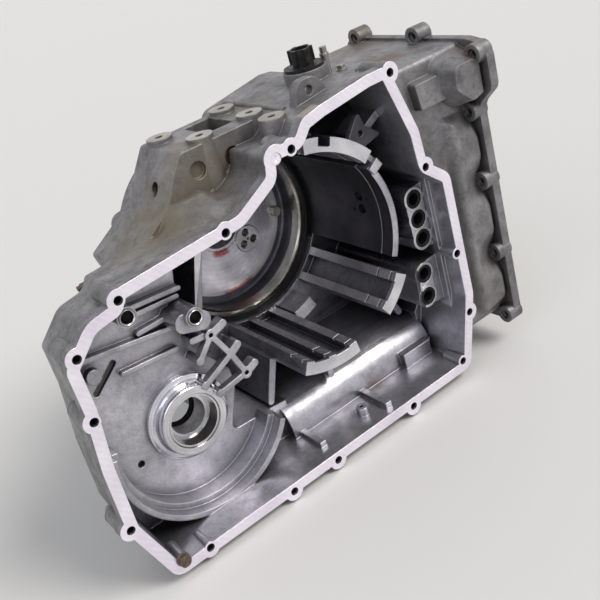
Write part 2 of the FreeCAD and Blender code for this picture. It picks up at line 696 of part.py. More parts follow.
def mount_cuts():
    # mount taps, the pockets between the bosses and the ports in the block
    cuts = []
    for x, y in MOUNT_BOSSES:
        cuts.append(rod_z(x, y, MOUNT_TAP_R, MOUNT_Z - MOUNT_TAP_DEPTH, MOUNT_Z + 1))
    cuts.append(block(-37, -3, MOUNT_FRONT + 24, MOUNT_BACK - 10, 118, MOUNT_Z + 1))
    cuts.append(rod(-70, 122, 9, MOUNT_FRONT - 1, MOUNT_FRONT + 5))
    cuts.append(rod(PRESSURE_X, PRESSURE_Z, PRESSURE_R, MOUNT_FRONT - 1, MOUNT_FRONT + 14))
    cuts.append(rod_x(STUD_Y, STUD_Z, STUD_R, -183, -158))
    cuts.append(rod_x(112, 112, 7, -112, -92))
    cuts.append(rod(EAR_X, EAR_Z, 5, 39, 52))
    cuts.append(rod_z(PLUG_X, PLUG_Y, PLUG_BORE_R, BELL_TOP - 20, BELL_TOP + 6))
    cuts.append(rod_z(VENT_X, PLUG_Y, VENT_R, BELL_TOP - 14, BELL_TOP + 6))
    cuts.append(rod_z(HARNESS_X, PLUG_Y, BOLT_R, SIDE_TOP - 16, SIDE_TOP + 1))
    cuts.append(rod(BOLT_X, BOLT_Z, BOLT_R, DRUM_FLOOR - 1, CASE_DEPTH - 2))
    for dx in (-4, 4):
        cuts.append(rod_z(141 + dx, 22, 3.2, BELL_TOP - 8, BELL_TOP + 1))
    cuts.append(block(137, 145, 18.8, 25.2, BELL_TOP - 8, BELL_TOP + 1))
    return cuts


def floor_cuts():
    cuts = [rod(-239, -131, 4, DIFF_FLOOR - 1, DIFF_FLOOR + 8)]
    cuts.append(bar((-226, -14), (-252, -34), 7, DIFF_FLOOR - 1, DIFF_FLOOR + 5))
    for x, z, y in SLEEVES:
        cuts.append(rod(x, z, SLEEVE_R, y - 1, y + SLEEVE_SEAT))
    return cuts


def inner_ear():
    ear = [(78, 94, 6), (100, 121, 3), (104, 104, 5), (123, 88, 2), (92, 81, 8)]
    plate = prism(ear, 30, 37).cut(rod(97, 98, 3.6, 29, 38))
    leg = bar((100, 92), (126, 106), 8, 36, 74)
    return plate.fuse(leg)


def sump_pads():
    # pads and the small tapped boss on the sump floor
    forms = [block(96, 138, 48, 61, BELL_FOOT + 8, -186)]
    forms.append(rod_z(7, 28, 7, BELL_FOOT + 8, -196).cut(rod_z(7, 28, 2.6, -206, -195)))
    forms.append(block(28, 36, 10, 60, BELL_FOOT + 8, -199))
    forms.append(block(-62, -54, 20, 60, BELL_FOOT + 8, -200))
    return forms


def turned(profile, x=0.0, z=0.0):
    # solid of revolution about an axis along Y, from (radius, depth) points
    points = [V(r, y, 0) for r, y in profile]
    face = Part.Face(Part.makePolygon(points + [points[0]]))
    return face.revolve(V(0, 0, 0), ALONG_Y, 360).translated(V(x, 0, z))


def bearing_cup():
    # tapered roller bearing's outer ring, pressed into the hub
    front = HUB_FRONT + CUP_STEP
    back = front + CUP_LENGTH
    profile = [(CUP_R, front + 1), (CUP_R, back - 1), (CUP_R - 1, back), (CUP_BORE_R, back),
               (CUP_BORE_R, back - 1), (CUP_R - 3, front), (CUP_R - 1, front)]
    return turned(profile, DIFF_X, DIFF_Z)


def axle_seal():
    # shaft seal with a lip, pressed in from outside
    front = AXLE_FACE - AXLE_SEAL_T
    profile = [(AXLE_SEAL_R, front), (AXLE_SEAL_R, AXLE_FACE), (AXLE_BORE_R + 2, AXLE_FACE),
               (AXLE_BORE_R, AXLE_FACE - 3), (AXLE_BORE_R + 2.5, front + 2), (AXLE_SEAL_R - 3, front + 2),
               (AXLE_SEAL_R - 3, front)]
    return turned(profile, DIFF_X, DIFF_Z)


def drum_seal_ring():
    back = BARREL_BACK + BULKHEAD_STEP
    front = back - SEAL_RING_T
    profile = [(LUG_TIP_R, front), (LUG_TIP_R, back), (SEAL_RING_R, back), (SEAL_RING_R, front + 1.5),
               (SEAL_RING_R + 1.5, front)]
    return turned(profile)


def drum_snap_ring():
    front = BARREL_BACK + BULKHEAD_STEP + CLEAR
    back = front + SNAP_RING_T
    profile = [(DRUM_R, front), (DRUM_R, back), (SNAP_RING_R, back), (SNAP_RING_R, front + 2),
               (SNAP_RING_R + 2, front)]
    return turned(profile)


def clutch_piston():
    # pressed steel piston between the end support and the drum bore
    front = BARREL_BACK + BULKHEAD_STEP + 2 * CLEAR + SNAP_RING_T
    web = DRUM_FLOOR - 15
    wall = SNAP_RING_R + PISTON_T
    back = web + 10
    profile = [(SNAP_RING_R, front), (wall, front), (wall, web), (DRUM_R, web + 1), (DRUM_R, back),
               (SUPPORT_R + CLEAR, back), (SUPPORT_R + CLEAR, web), (SNAP_RING_R - 2, web), (SNAP_RING_R, web - 2)]
    return turned(profile)


def end_support():
    # shaft support, bolted to the drum floor
    front = DRUM_FLOOR - SUPPORT_T
    profile = [(SUPPORT_BORE_R, front + 2), (SUPPORT_BORE_R + 4, front + 2), (SUPPORT_BORE_R + 4, front),
               (SUPPORT_R - 1, front), (SUPPORT_R, front + 1), (SUPPORT_R, DRUM_FLOOR),
               (SUPPORT_BORE_R, DRUM_FLOOR)]
    seat = rod(INSERT_X, INSERT_Z, INSERT_R, front - 1, DRUM_FLOOR + 1)
    bolt = rod(BOLT_X, BOLT_Z, BOLT_R + CLEAR, front - 1, DRUM_FLOOR + 1)
    return turned(profile).cut(fuse([seat, bolt]))


def hex_bolt(x, z, r, across, head, face, length):
    # hexagon head with a round collar on a face at depth y = face
    collar = rod(x, z, across * 0.62, face - 1.2, face)
    top = hexagon(x, z, across, face - head, face - 1.1)
    bevel = cone(x, z, across * 0.5, across * 0.62, face - head, face - head + 1.2)
    bevel = bevel.fuse(rod(x, z, across * 0.62, face - head + 1.2, face))
    return fuse([collar, top.common(bevel), rod(x, z, r, face - 0.5, face + length)])


def feed_insert():
    # ported sleeve that feeds oil to the shaft, held in the end support
    front = DRUM_FLOOR - SUPPORT_T - 1.5
    body = rod(INSERT_X, INSERT_Z, INSERT_R, front + 0.8, DRUM_FLOOR)
    body = body.fuse(cone(INSERT_X, INSERT_Z, INSERT_R - 0.8, INSERT_R, front, front + 0.8))
    cuts = []
    for angle in (95, 215, 335):
        port = on_circle(INSERT_R * 0.5, angle, 0, INSERT_X, INSERT_Z)
        cuts.append(rod(port.x, port.z, 4.2, front - 1, DRUM_FLOOR - 3))
        cuts.append(cone(port.x, port.z, 5.6, 4.2, front - 0.2, front + 1.2))
    cuts.append(rod(INSERT_X, INSERT_Z, 1.6, front - 1, DRUM_FLOOR - 3))
    return body.cut(fuse(cuts))


def port_seal(x, z):
    front = PORT_FACE - SEAL_PROUD
    back = PORT_FACE + SEAL_DEPTH
    profile = [(SEAL_R, front + 1), (SEAL_R, back), (PORT_R, back), (PORT_R, front + 1.2),
               (PORT_R + 1.2, front), (SEAL_R - 1, front)]
    return turned(profile, x, z)


def guide_sleeve(x, z, mouth):
    profile = [(SLEEVE_R, mouth + 0.6), (SLEEVE_R, mouth + SLEEVE_SEAT), (SLEEVE_BORE_R, mouth + SLEEVE_SEAT),
               (SLEEVE_BORE_R, mouth + 1), (SLEEVE_BORE_R + 1, mouth), (SLEEVE_R - 0.6, mouth)]
    return turned(profile, x, z)


def connector_plug():
    # round electrical connector in the roof, with a keyed socket
    seat = BELL_TOP + 5
    stem = rod_z(PLUG_X, PLUG_Y, PLUG_BORE_R, seat - 19, seat)
    flange = rod_z(PLUG_X, PLUG_Y, PLUG_FLANGE_R, seat, seat + 3)
    shell = rod_z(PLUG_X, PLUG_Y, 11.5, seat + 3, seat + 21).cut(rod_z(PLUG_X, PLUG_Y, 9.2, seat + 7, seat + 22))
    pins = [rod_z(PLUG_X + dx, PLUG_Y + dy, 1.1, seat + 6, seat + 17) for dx in (-4, 0, 4) for dy in (-4, 0, 4)]
    keys = []
    for angle in (20, 80, 140, 200, 260, 320):
        key = Part.makeBox(3.2, 4.5, 15, V(10.5, -2.25, seat + 6))
        key.rotate(V(0, 0, 0), UP, angle)
        keys.append(key.translated(V(PLUG_X, PLUG_Y, 0)))
    return fuse([stem, flange, shell] + pins + keys)


def vent_pipe():
    seat = BELL_TOP - 4
    tube = rod_z(VENT_X, PLUG_Y, VENT_R, seat - 10, seat + 22).cut(rod_z(VENT_X, PLUG_Y, 2, seat - 11, seat + 20))
    return tube.fuse(rod_z(VENT_X, PLUG_Y, VENT_R + 1.2, seat + 12, seat + 15))


def upright_bolt(x, y, seat, r, across, head, length):
    # the same bolt with its axis along Z, head up
    solid = hex_bolt(0, 0, r, across, head, 0, length)
    solid.rotate(V(0, 0, 0), V(1, 0, 0), -90)
    return solid.translated(V(x, y, seat))


def cable_stud():
    # long stud with a collar, screwed into the mount block's corner
    rod_part = rod_x(STUD_Y, STUD_Z, STUD_R, -212, -158)
    tip = rod_x(STUD_Y, STUD_Z, STUD_R - 1.2, -216, -211)
    collar = rod_x(STUD_Y, STUD_Z, STUD_R + 2.5, -196, -193)
    return fuse([rod_part, tip, collar])


def stud_nut():
    points = [(STUD_Y + 7.2 * math.cos(math.pi * k / 3), STUD_Z + 7.2 * math.sin(math.pi * k / 3), 0)
              for k in range(6)]
    nut = prism_x(points, -189, -182.2)
    return nut.cut(rod_x(STUD_Y, STUD_Z, STUD_R, -190, -182))


def pressure_plug():
    back = MOUNT_FRONT + 14
    body = rod(PRESSURE_X, PRESSURE_Z, PRESSURE_R, MOUNT_FRONT + 5, back)
    return body.cut(hexagon(PRESSURE_X, PRESSURE_Z, 8, MOUNT_FRONT + 4, back - 3))


def lug_plug():
    x, z = LUG_PLUG
    return rod(x, z, LUG_PLUG_R, 0.8, 9).cut(cone(x, z, 3.4, 2.6, 0.7, 2.4))


def lattice_pin():
    # small bright pin beside the lowest lug of the lattice
    return rod(-88, -97, 2.5, LATTICE_Y - 4, DIFF_FLOOR + 1)


PIECES = {
    "case": make_case,
    "differential_bearing_cup": bearing_cup,
    "axle_seal": axle_seal,
    "drum_seal_ring": drum_seal_ring,
    "drum_snap_ring": drum_snap_ring,
    "clutch_piston": clutch_piston,
    "end_support": end_support,
    "feed_insert": feed_insert,
    "connector_plug": connector_plug,
    "vent_pipe": vent_pipe,
    "cable_stud": cable_stud,
    "stud_nut": stud_nut,
    "pressure_plug": pressure_plug,
    "lug_plug": lug_plug,
    "support_bolt": lambda: hex_bolt(BOLT_X, BOLT_Z, BOLT_R, 11, 7, DRUM_FLOOR - SUPPORT_T, SUPPORT_T + 7),
    "corner_bolt": lambda: hex_bolt(CORNER_BOLT[0], CORNER_BOLT[1], TAP_R, 12, 7, 0, TAP_DEPTH - 2),
    "harness_bolt": lambda: upright_bolt(HARNESS_X, PLUG_Y, SIDE_TOP - 3, BOLT_R, 9, 6, 12),
}
for number, port in enumerate(PORTS, 1):
    PIECES["port_seal_%d" % number] = lambda port=port: port_seal(*port)
for name, sleeve in zip(("guide_sleeve_upper", "guide_sleeve_inner"), SLEEVES):
    PIECES[name] = lambda sleeve=sleeve: guide_sleeve(*sleeve)

os.makedirs("parts", exist_ok=True)
for name, make in PIECES.items():
    shape = make()
    if len(shape.Solids) == 1:
        shape = shape.Solids[0]
    shape.exportStep("parts/%s.step" % name)
    print(name, len(shape.Solids), shape.isValid(), round(shape.Volume))
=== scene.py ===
import json
import math

import bpy
import numpy as np
from mathutils import Matrix, Vector


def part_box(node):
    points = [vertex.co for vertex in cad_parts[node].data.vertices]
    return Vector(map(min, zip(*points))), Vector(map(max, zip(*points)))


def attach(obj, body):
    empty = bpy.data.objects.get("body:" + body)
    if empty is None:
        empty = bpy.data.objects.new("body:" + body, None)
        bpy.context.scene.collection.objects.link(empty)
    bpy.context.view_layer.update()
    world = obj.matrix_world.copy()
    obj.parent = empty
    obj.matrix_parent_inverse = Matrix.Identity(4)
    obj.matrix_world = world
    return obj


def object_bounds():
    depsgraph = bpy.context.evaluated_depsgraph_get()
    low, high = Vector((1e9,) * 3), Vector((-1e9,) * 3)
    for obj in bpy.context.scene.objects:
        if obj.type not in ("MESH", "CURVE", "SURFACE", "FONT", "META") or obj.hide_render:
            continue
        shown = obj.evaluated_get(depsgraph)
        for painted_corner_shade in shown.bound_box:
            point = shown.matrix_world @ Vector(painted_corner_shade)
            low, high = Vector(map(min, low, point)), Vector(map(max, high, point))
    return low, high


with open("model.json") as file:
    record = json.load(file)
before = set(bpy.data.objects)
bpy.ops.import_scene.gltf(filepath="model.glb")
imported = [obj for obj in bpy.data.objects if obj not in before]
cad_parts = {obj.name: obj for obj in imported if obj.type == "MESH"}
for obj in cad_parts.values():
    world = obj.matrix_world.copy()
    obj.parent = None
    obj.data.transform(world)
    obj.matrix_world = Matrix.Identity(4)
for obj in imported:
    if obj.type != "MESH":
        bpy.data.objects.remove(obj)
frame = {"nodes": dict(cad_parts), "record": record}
cad_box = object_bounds()


# The housing itself is one die casting in an aluminium and silicon alloy. Its skin is as cast, satin grey
# with soft edges, and what bolts, seals or turns on it is machined bright. Oil stays inside and road dirt
# outside.
def linear(hex_colour):
    channels = [int(hex_colour[i:i + 2], 16) / 255 for i in (1, 3, 5)]
    return [c / 12.92 if c <= 0.04045 else ((c + 0.055) / 1.055) ** 2.4 for c in channels] + [1.0]


def per_mm(size):
    # texture scale at which one feature is this many millimetres, because the frame is in metres
    return 1000 / size


def add(tree, kind, inputs=None, out=0, **settings):
    # adds one node with its settings, values and links, and gives one of its outputs. An input is given by
    # its name, or by its number where a node has more than one of that name
    node = tree.nodes.new(kind)
    for name, value in settings.items():
        setattr(node, name, value)
    for name, value in (inputs or {}).items():
        if isinstance(value, bpy.types.NodeSocket):
            tree.links.new(value, node.inputs[name])
        else:
            node.inputs[name].default_value = value
    return node.outputs[out]


def new_finish(name, metallic, roughness):
    material = bpy.data.materials.new(name)
    material.use_nodes = True
    shader = material.node_tree.nodes["Principled BSDF"]
    shader.inputs["Metallic"].default_value = metallic
    shader.inputs["Roughness"].default_value = roughness
    return material, material.node_tree, shader


def broken_grain(tree, shader, spot, wave_mm, wave_height_mm, grain_mm, grain_height_mm, edge_mm):
    # slow waves and a fine grain over softly rounded edges
    edge = add(tree, "ShaderNodeBevel", {"Radius": edge_mm / 1000}, samples=6)
    waves = add(tree, "ShaderNodeTexNoise", {"Vector": spot, "Scale": per_mm(wave_mm), "Detail": 2.0})
    waved = add(tree, "ShaderNodeBump", {"Height": waves, "Distance": wave_height_mm / 1000, "Normal": edge})
    grain = add(tree, "ShaderNodeTexNoise", {"Vector": spot, "Scale": per_mm(grain_mm), "Detail": 3.0})
    grained = add(tree, "ShaderNodeBump", {
        "Height": grain, "Distance": grain_height_mm / 1000, "Normal": waved,
    })
    tree.links.new(grained, shader.inputs["Normal"])


def stained(tree, spot, colour, stains):
    # blotches that fade out from a centre, each given as place in metres, reach in mm, colour and strength
    for place, reach_mm, stain, strength in stains:
        away = add(tree, "ShaderNodeVectorMath", {0: spot, 1: place}, out="Value", operation="DISTANCE")
        ragged = add(tree, "ShaderNodeTexNoise", {
            "Vector": spot, "Scale": per_mm(reach_mm / 3), "Detail": 7.0, "Roughness": 0.7,
        })
        # the noise moves the rim by up to 1.4 of the reach, and the rim fades over 0.8 of it
        shifted = add(tree, "ShaderNodeMath", {0: ragged, 1: -1.4 * reach_mm / 1000, 2: away},
                      operation="MULTIPLY_ADD")
        share = add(tree, "ShaderNodeMapRange", {
            0: shifted, 1: 0.25 * reach_mm / 1000, 2: -0.55 * reach_mm / 1000, 3: 0.0, 4: strength,
        })
        colour = add(tree, "ShaderNodeMix", {0: share, 6: colour, 7: linear(stain)}, out=2, data_type="RGBA")
    return colour


RUBBED_METAL_AND_HIGHLIGHT = "#d9d7de"
RUB_AND_HIGHLIGHT_WIDTH = 0.0016


def cast_skin(name, light, dark, dirt_and_shade, dirt_and_shade_share, mottle, corner_shade_mm, rub_and_highlight, metallic, roughness, stains=()):
    # as cast: clouds, specks, dirt in streaks, painted shade in corners, and edges worn bright with a painted
    # highlight
    material, tree, shader = new_finish(name, metallic, roughness)
    spot = add(tree, "ShaderNodeTexCoord", out="Object")
    clouds = add(tree, "ShaderNodeTexNoise", {
        "Vector": spot, "Scale": per_mm(70), "Detail": 9.0, "Roughness": 0.7,
    })
    cloud_share = add(tree, "ShaderNodeMapRange", {0: clouds, 1: 0.38, 2: 0.64})
    colour = add(tree, "ShaderNodeMix", {0: cloud_share, 6: linear(light), 7: linear(dark)}, out=2,
                 data_type="RGBA")
    specks = add(tree, "ShaderNodeTexNoise", {"Vector": spot, "Scale": per_mm(2.2), "Detail": 3.0})
    speck_tone = add(tree, "ShaderNodeMapRange", {0: specks, 1: 0.3, 2: 0.7, 3: 0.88, 4: 1.08})
    colour = add(tree, "ShaderNodeMix", {0: 1.0, 6: colour, 7: speck_tone}, out=2, data_type="RGBA",
                 blend_type="MULTIPLY")
    # the occlusion darkens corners and creases: painted shade in the dirt's colour, mixed with the streaks of
    # real dirt
    open_sky = add(tree, "ShaderNodeAmbientOcclusion", {"Distance": corner_shade_mm / 1000}, out="AO", samples=6)
    painted_corner_shade = add(tree, "ShaderNodeMapRange", {0: open_sky, 1: 0.8, 2: 0.25})
    streaks = add(tree, "ShaderNodeTexNoise", {
        "Vector": spot, "Scale": per_mm(14), "Detail": 8.0, "Roughness": 0.75,
    })
    streak = add(tree, "ShaderNodeMapRange", {0: streaks, 1: 0.47, 2: 0.7, 4: mottle})
    dirt_and_shade_mask = add(tree, "ShaderNodeMath", {0: painted_corner_shade, 1: streak}, operation="MAXIMUM")
    dirt_and_shade_amount = add(tree, "ShaderNodeMath", {0: dirt_and_shade_mask, 1: dirt_and_shade_share}, operation="MULTIPLY")
    colour = add(tree, "ShaderNodeMix", {0: dirt_and_shade_amount, 6: colour, 7: linear(dirt_and_shade)}, out=2, data_type="RGBA")
    colour = stained(tree, spot, colour, stains)
    # bright edges: partly metal worn bare, partly a painted highlight along the ridges
    edge = add(tree, "ShaderNodeBevel", {"Radius": RUB_AND_HIGHLIGHT_WIDTH}, samples=6)
    true_normal = add(tree, "ShaderNodeNewGeometry", out="True Normal")
    lean = add(tree, "ShaderNodeVectorMath", {0: edge, 1: true_normal}, out="Value", operation="DOT_PRODUCT")
    rubbed_and_highlit = add(tree, "ShaderNodeMapRange", {0: lean, 1: 0.97, 2: 0.78, 4: rub_and_highlight})
    colour = add(tree, "ShaderNodeMix", {0: rubbed_and_highlit, 6: colour, 7: linear(RUBBED_METAL_AND_HIGHLIGHT)}, out=2,
                 data_type="RGBA")
    tree.links.new(colour, shader.inputs["Base Color"])
    gloss = add(tree, "ShaderNodeMapRange", {
        0: streaks, 1: 0.3, 2: 0.7, 3: roughness - 0.08, 4: roughness + 0.12,
    })
    tree.links.new(gloss, shader.inputs["Roughness"])
    # the real grain is about 0.3 mm, drawn at 2 mm so that it shows
    broken_grain(tree, shader, spot, wave_mm=24, wave_height_mm=0.5, grain_mm=2.0, grain_height_mm=0.12,
                 edge_mm=2.2)
    return material


def cut_face(name, colour, shade, metallic, roughness, pitch_mm, edge_mm, marks, line_depth=0.06, stains=(),
             centre=(0, 0, 0)):
    # a face cut by a tool: bright and smooth, with the faint lines of its passes, line_depth darker than it
    material, tree, shader = new_finish(name, metallic, roughness)
    spot = add(tree, "ShaderNodeTexCoord", out="Object")
    from_centre = add(tree, "ShaderNodeVectorMath", {0: spot, 1: centre}, operation="SUBTRACT")
    # a wave at scale 1 repeats every pi / 10, and the real passes of 0.2 mm are drawn coarser
    lines = add(tree, "ShaderNodeTexWave", {
        "Vector": from_centre, "Scale": math.pi / 10 * per_mm(pitch_mm), "Distortion": 0.8, "Detail": 2.0,
        "Detail Scale": 0.4,
    }, **marks)
    clouds = add(tree, "ShaderNodeTexNoise", {
        "Vector": spot, "Scale": per_mm(45), "Detail": 8.0, "Roughness": 0.65,
    })
    cloud_share = add(tree, "ShaderNodeMapRange", {0: clouds, 1: 0.35, 2: 0.65})
    tone = add(tree, "ShaderNodeMix", {0: cloud_share, 6: linear(colour), 7: linear(shade)}, out=2,
               data_type="RGBA")
    line_tone = add(tree, "ShaderNodeMapRange", {0: lines, 3: 1 - line_depth, 4: 1.02})
    tone = add(tree, "ShaderNodeMix", {0: 1.0, 6: tone, 7: line_tone}, out=2, data_type="RGBA",
               blend_type="MULTIPLY")
    tone = stained(tree, spot, tone, stains)
    tree.links.new(tone, shader.inputs["Base Color"])
    gloss = add(tree, "ShaderNodeMapRange", {
        0: clouds, 1: 0.3, 2: 0.7, 3: roughness * 0.8, 4: roughness * 1.3,
    })
    tree.links.new(gloss, shader.inputs["Roughness"])
    edge = add(tree, "ShaderNodeBevel", {"Radius": edge_mm / 1000}, samples=6)
    # darker passes are cut deeper too, 0.04 mm where line_depth is 0.06
    scored = add(tree, "ShaderNodeBump", {
        "Height": lines, "Distance": line_depth / 1500, "Strength": 0.5, "Normal": edge,
    })
    tree.links.new(scored, shader.inputs["Normal"])
    return material


HUB = (-0.175, 0.06, -0.109)
PARALLEL = {"wave_type": "BANDS", "bands_direction": "DIAGONAL"}
ALONG_BORE = {"wave_type": "BANDS", "bands_direction": "Y"}
ROUND_FACE = {"wave_type": "RINGS", "rings_direction": "Y"}
OIL_STAINS = [((0.05, 0.06, -0.205), 26, "#5a4a3e", 0.5), ((-0.15, 0.072, 0.0), 20, "#6a5347", 0.35)]
ROAD_STAINS = [
    ((-0.13, 0.08, 0.088), 80, "#746b56", 0.75),
    ((-0.06, 0.09, 0.12), 50, "#7d735c", 0.7),
    ((0.02, 0.12, 0.145), 50, "#6c6456", 0.5),
    ((0.18, 0.065, 0.149), 34, "#614a36", 0.85),
    ((0.21, 0.16, 0.149), 60, "#6d5e4c", 0.55),
    ((0.24, 0.0, 0.13), 24, "#7e6549", 0.5),
    ((0.2, 0.02, -0.14), 50, "#6b665c", 0.4),
]

# oil keeps the bell's cast skin clean: bluish satin grey, painted shade in corners, painted highlight on edges
cast_inside = cast_skin(
    "die_cast_aluminium_oiled", light="#c3c2c9", dark="#9a99a1", dirt_and_shade="#27272b", dirt_and_shade_share=0.85, mottle=0.35,
    corner_shade_mm=40, rub_and_highlight=0.5, metallic=0.8, roughness=0.33, stains=OIL_STAINS,
)
# deep in the chamber the same skin is painted darker, its corners nearly black: painted shade
cast_chamber_in_painted_shade = cast_skin(
    "die_cast_aluminium_painted_deep_shade", light="#b1b0b7", dark="#828189", dirt_and_shade="#19191c", dirt_and_shade_share=0.88,
    mottle=0.5, corner_shade_mm=45, rub_and_highlight=0.55, metallic=0.8, roughness=0.3,
)
# outside, weather and road dirt have dulled it to a mottled brownish grey, and painted shade darkens its
# corners
cast_outside = cast_skin(
    "die_cast_aluminium_weathered", light="#929193", dark="#69686a", dirt_and_shade="#35322d", dirt_and_shade_share=0.85,
    mottle=0.7, corner_shade_mm=25, rub_and_highlight=0.14, metallic=0.55, roughness=0.46, stains=ROAD_STAINS,
)
# the joint face is milled flat: nearly white, with faint slanted passes
joint_face = cut_face(
    "milled_aluminium", "#f4eff8", "#e0d9e7", metallic=0.75, roughness=0.34, pitch_mm=4.0, edge_mm=0.9,
    marks=PARALLEL, line_depth=0.025,
)
# the mount's bosses and the cover's flange are milled too, and have gone dull outside
boss_face = cut_face(
    "milled_aluminium_dulled", "#b9b6ac", "#8e8a80", metallic=0.75, roughness=0.38, pitch_mm=4.0, edge_mm=0.9,
    marks=PARALLEL, line_depth=0.05,
)
# the hub is turned on a lathe: a bright metal with rings that catch the light
hub_face = cut_face(
    "turned_aluminium", "#e2e1e6", "#b9b8c0", metallic=1.0, roughness=0.17, pitch_mm=3.0, edge_mm=0.6,
    marks=ROUND_FACE, line_depth=0.12, centre=HUB,
)
# the liner is bored: smooth and even, and painted dark for the shade that lies in it
liner_face = cut_face(
    "bored_aluminium_in_painted_shade", "#55545a", "#414046", metallic=0.8, roughness=0.36, pitch_mm=4.0, edge_mm=0.6,
    marks=ALONG_BORE,
)
# the plates that slide on the spline lugs have honed them: bright flats
lug_face = cut_face(
    "honed_aluminium", "#dcdbe0", "#b3b2b9", metallic=0.85, roughness=0.25, pitch_mm=6.0, edge_mm=0.9,
    marks=ALONG_BORE,
)
# holes are drilled, and their walls are painted dark for the shade in them. Their lines have an M8 thread's
# pitch
hole_wall = cut_face(
    "drilled_aluminium_in_painted_shade", "#38373c", "#232226", metallic=0.7, roughness=0.4, pitch_mm=1.25, edge_mm=0.3,
    marks=ALONG_BORE,
)
FINISHES = [
    cast_inside, cast_chamber_in_painted_shade, cast_outside, joint_face, boss_face, hub_face, liner_face, lug_face, hole_wall,
]

# middle line of the bell's wall and of the deep chamber's, in mm, which parts the inside from the outside
BELL_LINE = [
    (119, 152), (140, 82), (142, 41), (170, 18), (170, -129), (147, -209), (-262, -211), (-286, -141),
    (-285, -71), (-278, -9), (-278, 34), (-251, 59), (-222, 63), (-215, 75), (-81, 83), (-35, 107),
    (-30, 126), (3, 125), (17, 140), (38, 145), (99, 152),
]
CHAMBER_LINE = [
    (-130, 76), (-85, 82), (-31, 108), (4, 119), (14, 139), (96, 152), (118, 149), (140, 77), (142, 44),
    (166, 22), (168, -111), (150, -166), (-60, -166), (-138, -161), (-116, -107), (-116, -89), (-149, -39),
    (-154, -20),
]

# where the machined faces and the two chambers lie, in metres and degrees
CLOSE = 0.0005
FACING = 0.9
FACING_BACK = 0.5
JOINT_FACE_RIGHT = 0.19
COVER_FACE = 0.2495
BOSS_TOP = 0.1495
BOSS_RIGHT = 0.03
HUB_R = 0.048
HUB_FRONT = 0.05
POCKET_FLOOR = 0.0725
BARREL_R = 0.110
BARREL_FRONT = 0.016
BULKHEAD = 0.19
LINER_ANGLES = (-28, 34)
LUG_END = 0.0195
LUG_FOOT_R = 0.131
PORT_FACE = (0.029, 0.0312)
PORT_PAD_LEFT = 0.13
CHAMBER_FRONT = 0.0705
BARREL_BACK = 0.1785
TUNNEL_TOP = -0.15
DRUM_FLOOR = 0.2405

# holes: how far each kind reaches from its middle, and between which depths it lies. The liner's oil holes
# are given by their angle and their depth
MOUNTS = frame["record"]["mounts"]
TAPS = [Vector(mount["pos_m"]) for mount in MOUNTS if mount["name"].startswith("joint_tap")]
TAP_REACH = 0.0045
TAP_DEPTH = (0.0002, 0.026)
PORT_BOXES = [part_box("port_seal_%d" % number) for number in range(1, 6)]
PORTS = [(Vector(low) + Vector(high)) / 2 for low, high in PORT_BOXES]
PORT_REACH = 0.0109
PORT_DEPTH = (0.0302, 0.08)
OIL_HOLES = [(7.0, 0.078), (-1.5, 0.078), (6.0, 0.064), (-3.0, 0.092)]
OIL_HOLE_DEG = 3.2
OIL_HOLE_REACH = 0.0065
LINER_WALL = (0.1105, 0.1176)


def within(x, z, line):
    # whether a point in metres lies inside a closed line in mm, by how often the line passes on its right
    inside = False
    for (x0, z0), (x1, z1) in zip(line, line[1:] + line[:1]):
        passes = (z0 > z * 1000) != (z1 > z * 1000)
        if passes and x * 1000 < (x1 - x0) * (z * 1000 - z0) / (z1 - z0) + x0:
            inside = not inside
    return inside


def near(holes, x, z, reach):
    return any(math.hypot(x - hole.x, z - hole.z) < reach for hole in holes)


def in_hole(x, y, z, from_shaft, angle):
    # inside a tapped hole of the joint face, an oil port, or an oil hole of the liner
    if TAP_DEPTH[0] < y < TAP_DEPTH[1] and near(TAPS, x, z, TAP_REACH):
        return True
    if PORT_DEPTH[0] < y < PORT_DEPTH[1] and near(PORTS, x, z, PORT_REACH):
        return True
    return LINER_WALL[0] < from_shaft < LINER_WALL[1] and any(
        abs(angle - at) < OIL_HOLE_DEG and abs(y - depth) < OIL_HOLE_REACH for at, depth in OIL_HOLES)


def finish_of(middle, normal):
    # which finish a facet of the casting has, from where it lies and which way it faces
    x, y, z = middle
    from_shaft = math.hypot(x, z)
    from_hub = math.hypot(x - HUB[0], z - HUB[2])
    front = normal.y < -FACING
    angle = math.degrees(math.atan2(z, x))
    if abs(y) < CLOSE and front and x < JOINT_FACE_RIGHT:
        return joint_face
    if x > COVER_FACE or z > BOSS_TOP and normal.z > FACING and x < BOSS_RIGHT:
        return boss_face
    # the walls of holes get the dark finish: painted shade
    if in_hole(x, y, z, from_shaft, angle):
        return hole_wall
    if from_hub < HUB_R and HUB_FRONT < y < POCKET_FLOOR:
        return hub_face
    # the liner between its angles gets the dark bored finish: painted shade
    if abs(from_shaft - BARREL_R) < CLOSE and BARREL_FRONT < y < BULKHEAD:
        return liner_face if LINER_ANGLES[0] < angle < LINER_ANGLES[1] else lug_face
    if front and BARREL_FRONT < y < LUG_END and from_shaft < LUG_FOOT_R:
        return lug_face
    # left of the port pads, the port faces get the liner's dark finish: painted shade
    if front and PORT_FACE[0] < y < PORT_FACE[1]:
        return lug_face if x > PORT_PAD_LEFT else liner_face
    if y < POCKET_FLOOR and within(x, z, BELL_LINE):
        return cast_inside
    # deep in the chamber, above the tunnel, facets get the darker skin: painted shade
    if CHAMBER_FRONT < y < BARREL_BACK and within(x, z, CHAMBER_LINE):
        return cast_chamber_in_painted_shade if z > TUNNEL_TOP else cast_inside
    # inside the barrel up to the drum's floor, facets get the darker skin too: painted shade
    if from_shaft < BARREL_R + CLOSE and y < DRUM_FLOOR and not normal.y > FACING_BACK:
        return cast_chamber_in_painted_shade
    return cast_outside


